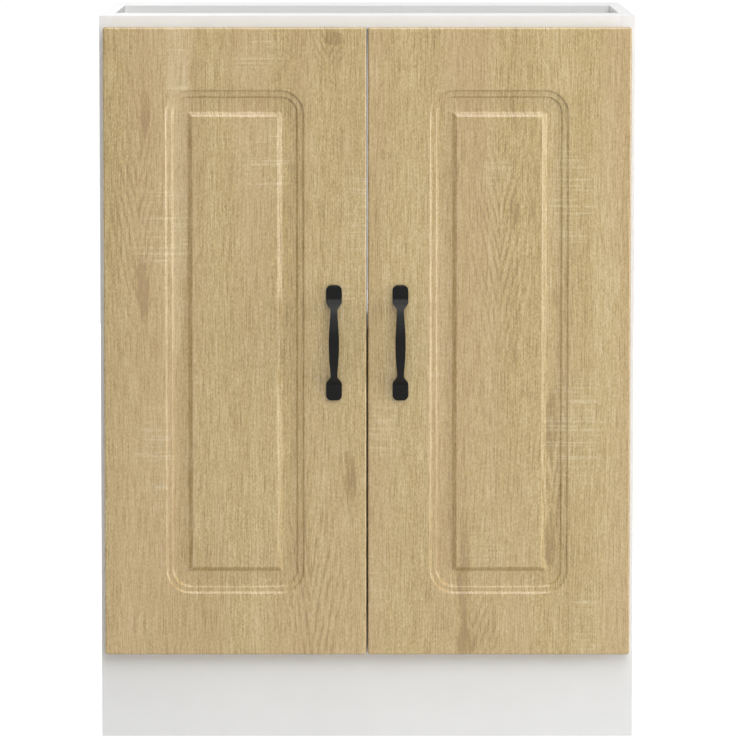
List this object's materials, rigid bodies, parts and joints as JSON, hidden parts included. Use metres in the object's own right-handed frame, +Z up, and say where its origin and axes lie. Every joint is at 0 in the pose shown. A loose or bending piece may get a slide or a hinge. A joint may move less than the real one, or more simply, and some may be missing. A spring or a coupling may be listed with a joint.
{
  "type": "sink base cabinet",
  "caption": "Kitchen base cabinet for a sink: open-topped board carcass with a loose shelf and flush plinth, hinged doors with a routed raised panel and black bow handles.",
  "frame": {"origin": "middle of the whole object's footprint, on the floor", "axes": "+Z up, +X to the right as seen from the front, -Y out of the doors"},
  "size_m": [0.6, 0.488, 0.815],
  "materials": {
    "white_board": "white melamine-faced chipboard with white edging, satin",
    "hardboard": "3 mm hardboard, white inside and raw brown behind",
    "oak_foil": "light oak foil over routed board, vertical grain, matt",
    "black_metal": "matt black lacquer",
    "nickel": "nickel-plated pressed steel",
    "zinc": "zinc-plated steel"
  },
  "bodies": {
    "carcass": {"side_panel_left": "white_board", "side_panel_right": "white_board", "bottom_panel": "white_board", "top_rail_front": "white_board", "top_rail_rear": "white_board", "back_panel": "hardboard", "shelf": "white_board", "plinth_board": "white_board", "connecting_screw_left_front": "zinc", "shelf_pin_left_front": "zinc", "connecting_screw_left_rear": "zinc", "shelf_pin_left_rear": "zinc", "hinge_plate_left_upper": "nickel", "hinge_arm_left_upper": "nickel", "arm_screw_left_upper": "zinc", "plate_screw_left_upper_high": "zinc", "plate_screw_left_upper_low": "zinc", "hinge_plate_left_lower": "nickel", "hinge_arm_left_lower": "nickel", "arm_screw_left_lower": "zinc", "plate_screw_left_lower_high": "zinc", "plate_screw_left_lower_low": "zinc", "connecting_screw_right_front": "zinc", "shelf_pin_right_front": "zinc", "connecting_screw_right_rear": "zinc", "shelf_pin_right_rear": "zinc", "hinge_plate_right_upper": "nickel", "hinge_arm_right_upper": "nickel", "arm_screw_right_upper": "zinc", "plate_screw_right_upper_high": "zinc", "plate_screw_right_upper_low": "zinc", "hinge_plate_right_lower": "nickel", "hinge_arm_right_lower": "nickel", "arm_screw_right_lower": "zinc", "plate_screw_right_lower_high": "zinc", "plate_screw_right_lower_low": "zinc"},
    "door_left": {"door_left": "oak_foil", "handle_left": "black_metal", "handle_screw_left_upper": "zinc", "handle_screw_left_lower": "zinc", "hinge_cup_left_upper": "nickel", "cup_screw_left_upper_high": "zinc", "cup_screw_left_upper_low": "zinc", "hinge_cup_left_lower": "nickel", "cup_screw_left_lower_high": "zinc", "cup_screw_left_lower_low": "zinc"},
    "door_right": {"door_right": "oak_foil", "handle_right": "black_metal", "handle_screw_right_upper": "zinc", "handle_screw_right_lower": "zinc", "hinge_cup_right_upper": "nickel", "cup_screw_right_upper_high": "zinc", "cup_screw_right_upper_low": "zinc", "hinge_cup_right_lower": "nickel", "cup_screw_right_lower_high": "zinc", "cup_screw_right_lower_low": "zinc"},
    "hinge_links_left": {"hinge_link_left_upper": "nickel", "hinge_link_left_lower": "nickel"},
    "hinge_links_right": {"hinge_link_right_upper": "nickel", "hinge_link_right_lower": "nickel"}
  },
  "joints": [
    {"name": "door_left_swing", "type": "hinge", "parent": "carcass", "child": "door_left", "pos_m": [-0.2905, -0.207, 0.44925], "axis": [0, 0, -1], "range_deg": [0, 100]},
    {"name": "door_right_swing", "type": "hinge", "parent": "carcass", "child": "door_right", "pos_m": [0.2905, -0.207, 0.44925], "axis": [0, 0, 1], "range_deg": [0, 100]},
    {"name": "hinge_links_left_turn", "type": "hinge", "parent": "carcass", "child": "hinge_links_left", "pos_m": [-0.2765, -0.205, 0.44925], "axis": [0, 0, 1], "range_deg": [0, 55]},
    {"name": "hinge_links_right_turn", "type": "hinge", "parent": "carcass", "child": "hinge_links_right", "pos_m": [0.2765, -0.205, 0.44925], "axis": [0, 0, -1], "range_deg": [0, 55]}
  ],
  "couplings": [
    {"joint": "hinge_links_left_turn", "follows": "door_left_swing", "ratio": 0.55},
    {"joint": "hinge_links_right_turn", "follows": "door_right_swing", "ratio": 0.55}
  ]
}
